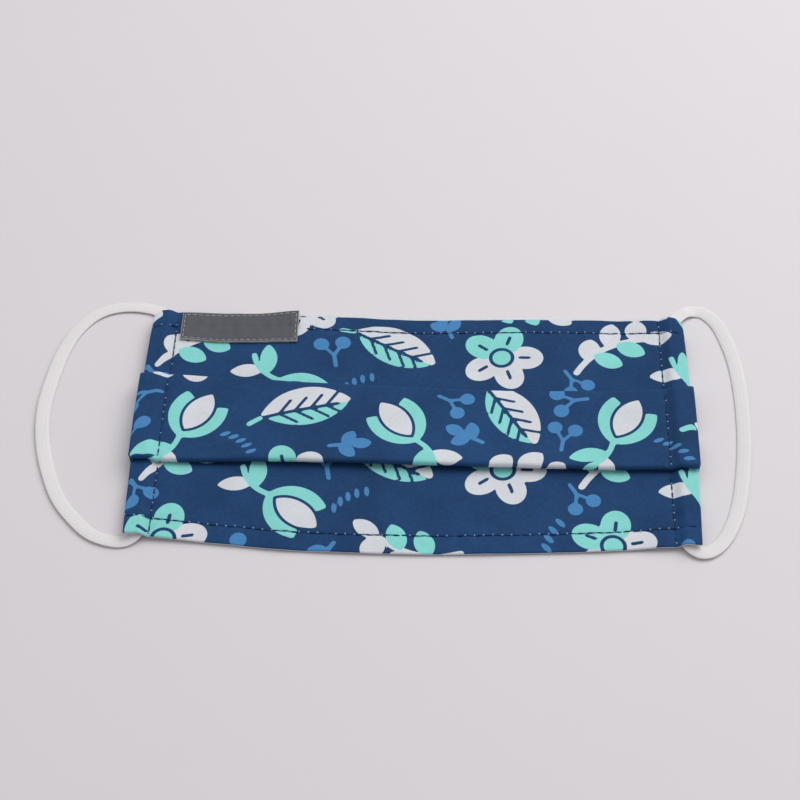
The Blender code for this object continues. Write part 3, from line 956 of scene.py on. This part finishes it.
class MASK_OT_sewing(bpy.types.Operator):
    """Sews the hems and casings, with a speck of the lower thread at each needle hole"""

    bl_idname = "mask.sewing"
    bl_label = "Seams"

    FROM_SIDE = 0.8 * MM  # where the hems' seams end
    FROM_EDGE = 1.0 * MM  # where the casings' seams end
    WOBBLE = 0.18 * MM  # how far a stitch lies off its seam's line
    SPECK_NOISE = (700, -0.3)  # the noise's scale, and the value above which a needle hole shows a speck

    def execute(self, context):
        cloth = FoldedCloth()
        sewing = context.scene.mask_thread
        top = bmesh.new()
        specks = bmesh.new()
        for seam in self.seams(cloth, sewing):
            for start, end in zip(seam, seam[1:]):
                self.sew(cloth, sewing, top, specks, start, end)
        colours = context.scene.mask_colours
        finished("seam_thread", top, [sewing_thread("navy polyester thread", colours.thread)])
        finished("seam_specks", specks, [sewing_thread("pale polyester thread", colours.bobbin)])
        return {"FINISHED"}

    def seams(self, cloth, sewing):
        """The needle holes of each seam."""
        size = cloth.size
        side = cloth.half_width - self.FROM_SIDE
        count = int(2 * side / sewing.pitch)
        places = [-side + sewing.pitch * i for i in range(count + 1)]
        label = (LABEL_LOW.x - cloth.middle.x, LABEL_HIGH.x - cloth.middle.x)
        upper = [(x, cloth.upper_edge(x) - sewing.from_upper_edge) for x in places]
        yield [place for place in upper if place[0] < label[0]]
        yield [place for place in upper if place[0] > label[1]]
        yield [(x, cloth.lower_edge(x) + sewing.from_lower_edge) for x in places]
        for way in (-1, 1):
            x = way * cloth.stitch_line
            low = cloth.lower_edge(x) + self.FROM_EDGE
            count = int((cloth.upper_edge(x) - self.FROM_EDGE - low) / sewing.pitch)
            yield [(x, low + sewing.pitch * i) for i in range(count + 1)]

    def sew(self, cloth, sewing, top, specks, start, end):
        """One stitch between two needle holes, left out where it would cross a fold."""
        heights = [cloth.top(*place) for place in (start, end)]
        if heights[0][1] != heights[1][1]:
            return
        wobble = self.WOBBLE * noise.noise(Vector((start[0] * 900, start[1] * 900, 0.5)))
        points = [cloth.middle + Vector((x, y + wobble, z[0])) for (x, y), z in zip((start, end), heights)]
        add_stitch(top, *points, sewing.gap, sewing.thread, sewing.thread / 5)
        if noise.noise(points[0] * self.SPECK_NOISE[0]) > self.SPECK_NOISE[1]:
            lifted = points[0] + Vector((0, 0, sewing.speck / 3))
            speck = Matrix.Translation(lifted) @ Matrix.Diagonal((*(sewing.speck / 2,) * 3, 1))
            bmesh.ops.create_icosphere(specks, subdivisions=1, radius=1, matrix=speck)


class MASK_OT_label(bpy.types.Operator):
    """Lays the bare woven label on the upper panel and stitches round it"""

    bl_idname = "mask.label"
    bl_label = "Label"

    EDGE_RADIUS = 0.18 * MM
    PRESS = (0.16 * MM, 0.5 * MM)  # depth and half width of the line that the stitches press in
    RIPPLE = (0.12 * MM, 4 * MM, 5 * MM)  # height, and length along and down the tape
    FLARE_ABOVE = 0.65  # share of the flare by which its upper edge rises
    CURL_FROM = 0.6  # share of its width at which the curl starts
    THREAD_LIFT = 0.02 * MM

    def execute(self, context):
        cloth = FoldedCloth()
        size = context.scene.mask_label
        colours = context.scene.mask_colours
        left = LABEL_LOW.x - cloth.middle.x
        width = LABEL_HIGH.x - LABEL_LOW.x
        mean_height = size.height + size.flare / 2

        def sunk(x, down, height):
            """How far the stitches press the label in."""
            away = min(x, width - x, down, height - down) - size.inset
            return self.PRESS[0] * math.exp(-((away / self.PRESS[1]) ** 2))

        def place(x, y, out):
            x += width / 2
            height = size.height + size.flare * x / width
            down = (0.5 - y / mean_height) * height
            from_edge = size.from_edge - self.FLARE_ABOVE * size.flare * x / width
            from_edge += size.sag * math.sin(math.pi * x / width)
            here = cloth.upper_edge(left + x) - from_edge - down
            under = min(here, cloth.upper_edge(left + x) - 1.0 * MM)
            past_flat = (x / width - self.CURL_FROM) / (1 - self.CURL_FROM)
            curl = size.curl * smooth(past_flat) * smooth(1 - down / height)
            ripple = self.RIPPLE[0] * noise.noise(Vector((x / self.RIPPLE[1], down / self.RIPPLE[2], 3.0)))
            z = cloth.top(left + x, under)[0] + size.gap + size.thickness / 2 + out + curl + ripple
            z -= sunk(x, down, height)
            return cloth.middle + Vector((left + x, here, z)), (x, down)

        columns = round(width / size.step)
        rows = round(mean_height / size.step)
        mesh = flat_slab(width, mean_height, columns, rows, size.thickness, self.EDGE_RADIUS)
        for face in mesh.faces:
            face.material_index = 0 if abs(face.calc_center_median().z) > 0.49 * size.thickness else 1
        lay(mesh, place)
        tape = woven_tape("woven polyester label", colours.label, 0.5 * MM)
        cut_edge = woven_tape("cut label edge", colours.label_edge, 0.4 * MM)
        made = finished("label_tape", mesh, [tape, cut_edge])
        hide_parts("label_patch")

        threads = bmesh.new()
        inset = size.inset
        high = mean_height - inset
        corners = [(inset, inset), (width - inset, inset), (width - inset, high), (inset, high)]
        for (x0, y0), (x1, y1) in zip(corners, corners[1:] + corners[:1]):
            count = round(math.hypot(x1 - x0, y1 - y0) / size.pitch)
            holes = [(x0 + (x1 - x0) * i / count, y0 + (y1 - y0) * i / count) for i in range(count + 1)]
            points = [place(x - width / 2, mean_height / 2 - y, size.thickness / 2)[0] for x, y in holes]
            for start, end in zip(points, points[1:]):
                add_stitch(threads, start, end, size.stitch_gap, size.thread, self.THREAD_LIFT)
        finished("label_thread", threads, [sewing_thread("grey polyester thread", colours.label_thread)])
        return {"FINISHED"}


class MASK_OT_elastic(bpy.types.Operator):
    """Knits the two ear loops, each a closed band that runs through its casing"""

    bl_idname = "mask.elastic"
    bl_label = "Ear loops"

    # The elastic lies on the floor where its rise is below NEAR_FLOOR, and rises fully SETTLING above that
    NEAR_FLOOR = 0.08
    SETTLING = 0.2
    FLOOR_GAP = 0.08 * MM
    PER_SPAN = 24  # points between two rows of a loop's way
    SQUARENESS = 2.4  # of the band's section: 2 is an oval

    def execute(self, context):
        elastic = context.scene.mask_elastic
        finish = knitted_elastic(context.scene.mask_colours)
        for side, reach, rows, name, node_name in (
            (-1, elastic.left_reach, LEFT_LOOP_ROWS, "elastic_left", "ear_loop_left"),
            (1, elastic.right_reach, RIGHT_LOOP_ROWS, "elastic_right", "ear_loop_right"),
        ):
            made = self.loop(name, side, reach, rows, finish)
            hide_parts(node_name)
        return {"FINISHED"}

    def rest_height(self, elastic, tilt):
        """The elastic's centre above a surface that it touches, at this tilt."""
        return math.hypot(elastic.width / 2 * math.sin(tilt), elastic.thickness / 2 * math.cos(tilt))

    def route(self, cloth, elastic, side, reach, loop_rows):
        """The loop's own points, as rows of x, y, z and tilt, all the way round and through the casing."""
        values = fold_values(side)
        size = cloth.size
        start = values["lower_edge"] * size.height + size.lower_mouth - elastic.run_on
        run = values["upper_edge"] * size.height - size.upper_mouth + elastic.run_on - start
        line_x = cloth.half_width - elastic.from_side
        level = size.cloth + elastic.gap + elastic.thickness / 2
        route = [(side * line_x, start + run * share, level, 0.0) for share in HIDDEN_SHARES]
        for out, along, rise, tilt_degrees in loop_rows:
            tilt = math.radians(tilt_degrees)
            x = side * (line_x + out * reach)
            off_floor = rise * smooth((rise - self.NEAR_FLOOR) / self.SETTLING) * elastic.width
            z = self.rest_height(elastic, tilt) + off_floor + self.FLOOR_GAP
            route.append((x, along * cloth.half_height, z, tilt))
        return np.array(route)

    def closed_curve(self, route, steps):
        """Rows evenly spaced on a smooth closed curve through the route, and the curve's length."""
        fine = []
        for i in range(len(route)):
            p0, p1, p2, p3 = (route[(i + k) % len(route)] for k in (-1, 0, 1, 2))
            before, span, after = (np.linalg.norm((b - a)[:3]) for a, b in ((p0, p1), (p1, p2), (p2, p3)))
            for j in range(self.PER_SPAN):
                s = j / self.PER_SPAN
                rise_1 = s * (1 - s) ** 2 * span / (span + before)
                rise_2 = s * s * (1 - s) * span / (after + span)
                fine.append(p1 + (p2 - p1) * smooth(s) + rise_1 * (p2 - p0) - rise_2 * (p3 - p1))
        fine = np.array([*fine, fine[0]])
        lengths = np.append(0, np.cumsum(np.linalg.norm(np.diff(fine[:, :3], axis=0), axis=1)))
        even = lengths[-1] * np.arange(steps) / steps
        return np.stack([np.interp(even, lengths, column) for column in fine.T], 1), lengths[-1]

    def loop(self, name, side, reach, loop_rows, finish):
        cloth = FoldedCloth()
        elastic = bpy.context.scene.mask_elastic
        steps, sides = elastic.steps, elastic.sides
        points, whole = self.closed_curve(self.route(cloth, elastic, side, reach, loop_rows), steps)
        frames = []
        centres = [Vector(point[:3]) for point in points]
        for i, (centre, tilt) in enumerate(zip(centres, points[:, 3])):
            heading = centres[(i + 1) % steps] - centres[i - 1]
            level = heading.cross(Vector((0, 0, 1))).normalized()
            up = level.cross(heading).normalized()
            wide = level * math.cos(tilt) + up * math.sin(tilt)
            thin = up * math.cos(tilt) - level * math.sin(tilt)
            frames.append((cloth.middle + centre, wide, thin))
        mesh = bmesh.new()
        bmesh.ops.create_grid(mesh, x_segments=steps, y_segments=sides, size=0.5)
        flat_layer = mesh.verts.layers.float_vector.new("flat")
        for vert in mesh.verts:
            along, round_share = vert.co.x + 0.5, vert.co.y + 0.5
            centre, wide, thin = frames[round(along * steps) % steps]
            angle = 2 * math.pi * round_share
            round_sum = abs(math.cos(angle)) ** self.SQUARENESS + abs(math.sin(angle)) ** self.SQUARENESS
            flat_oval = round_sum ** (-1 / self.SQUARENESS)
            rib = 1 - elastic.rib / elastic.thickness * (1 - math.cos(angle * elastic.ribs))
            across = elastic.width / 2 * math.cos(angle) * flat_oval
            through = elastic.thickness / 2 * math.sin(angle) * flat_oval * rib
            vert.co = centre + wide * across + thin * through
            around = round_share * 2 * (elastic.width + elastic.thickness)
            vert[flat_layer] = Vector((along * whole, around, 0))
        bmesh.ops.remove_doubles(mesh, verts=mesh.verts, dist=0.002 * MM)
        bmesh.ops.recalc_face_normals(mesh, faces=mesh.faces)
        return finished(name, mesh, [finish])


class MASK_OT_stage(bpy.types.Operator):
    """Sets up the pale floor, the soft lights and the camera"""

    bl_idname = "mask.stage"
    bl_label = "Studio"

    # Sizes and places in metres, the camera's sensor in millimetres
    FLOOR_SIZE = 3.0
    LIGHT_SIZE = 1.2
    KEY_PLACE = (0.6, 0.55, 0.95)
    OVERHEAD_PLACE = (-0.1, 0.3, 1.3)
    SENSOR = 36

    def execute(self, context):
        self.floor(context)
        self.lights(context)
        self.camera(context)
        return {"FINISHED"}

    def floor(self, context):
        mesh = bmesh.new()
        bmesh.ops.create_grid(mesh, x_segments=1, y_segments=1, size=self.FLOOR_SIZE)
        data = mesh_data("floor", mesh)
        data.materials.append(studio_paper(context.scene.mask_colours))
        linked("floor", data)

    def area_light(self, name, place, power):
        data = bpy.data.lights.new(name, "AREA")
        data.shape = "DISK"
        data.size = self.LIGHT_SIZE
        data.energy = power
        made = linked(name, data)
        made.location = place
        made.rotation_euler = (-Vector(place)).to_track_quat("-Z", "Y").to_euler()

    def lights(self, context):
        studio = context.scene.mask_studio
        self.area_light("key", self.KEY_PLACE, studio.key)
        self.area_light("overhead", self.OVERHEAD_PLACE, studio.fill)
        world = bpy.data.worlds.new("studio")
        world.use_nodes = True
        background = world.node_tree.nodes["Background"].inputs
        background["Color"].default_value = (1, 1, 1, 1)
        background["Strength"].default_value = studio.ambient
        context.scene.world = world
        context.scene.view_settings.view_transform = "Standard"

    def camera(self, context):
        studio = context.scene.mask_studio
        target = FoldedCloth().middle + Vector(studio.target)
        out = math.cos(studio.elevation)
        yaw = studio.yaw
        back = Vector((math.sin(yaw) * out, -math.cos(yaw) * out, math.sin(studio.elevation)))
        right = Vector((0, 0, 1)).cross(back).normalized()
        up = back.cross(right)
        level = Matrix((right, up, back)).transposed().to_4x4()
        data = bpy.data.cameras.new("camera")
        data.lens = studio.lens
        data.sensor_width = self.SENSOR
        made = linked("camera", data)
        rolled = level @ Matrix.Rotation(studio.roll, 4, "Z")
        made.matrix_world = Matrix.Translation(target + back * studio.distance) @ rolled
        context.scene.camera = made


OPERATORS = (MASK_OT_stage, MASK_OT_cloth, MASK_OT_sewing, MASK_OT_label, MASK_OT_elastic)
SETTINGS = {
    "mask_cloth": ClothSettings,
    "mask_thread": ThreadSettings,
    "mask_label": LabelSettings,
    "mask_elastic": ElasticSettings,
    "mask_colours": ColourSettings,
    "mask_studio": StudioSettings,
}


class MASK_PT_panel(bpy.types.Panel):
    """Lists the pieces and their settings"""

    bl_label = "Face mask"
    bl_idname = "MASK_PT_panel"
    bl_space_type = "VIEW_3D"
    bl_region_type = "UI"
    bl_category = "Face mask"

    def draw(self, context):
        for operator in OPERATORS:
            self.layout.operator(operator.bl_idname)
        for name, group in SETTINGS.items():
            box = self.layout.box()
            for setting in group.__annotations__:
                box.prop(getattr(context.scene, name), setting)


def register():
    for each in (*SETTINGS.values(), *OPERATORS, MASK_PT_panel):
        bpy.utils.register_class(each)
    for name, group in SETTINGS.items():
        setattr(bpy.types.Scene, name, PointerProperty(type=group))


def unregister():
    for name in SETTINGS:
        delattr(bpy.types.Scene, name)
    for each in reversed((*SETTINGS.values(), *OPERATORS, MASK_PT_panel)):
        bpy.utils.unregister_class(each)


def main():
    register()
    bpy.ops.mask.stage()
    bpy.ops.mask.cloth()
    bpy.ops.mask.sewing()
    bpy.ops.mask.label()
    bpy.ops.mask.elastic()


if __name__ == "__main__":
    main()
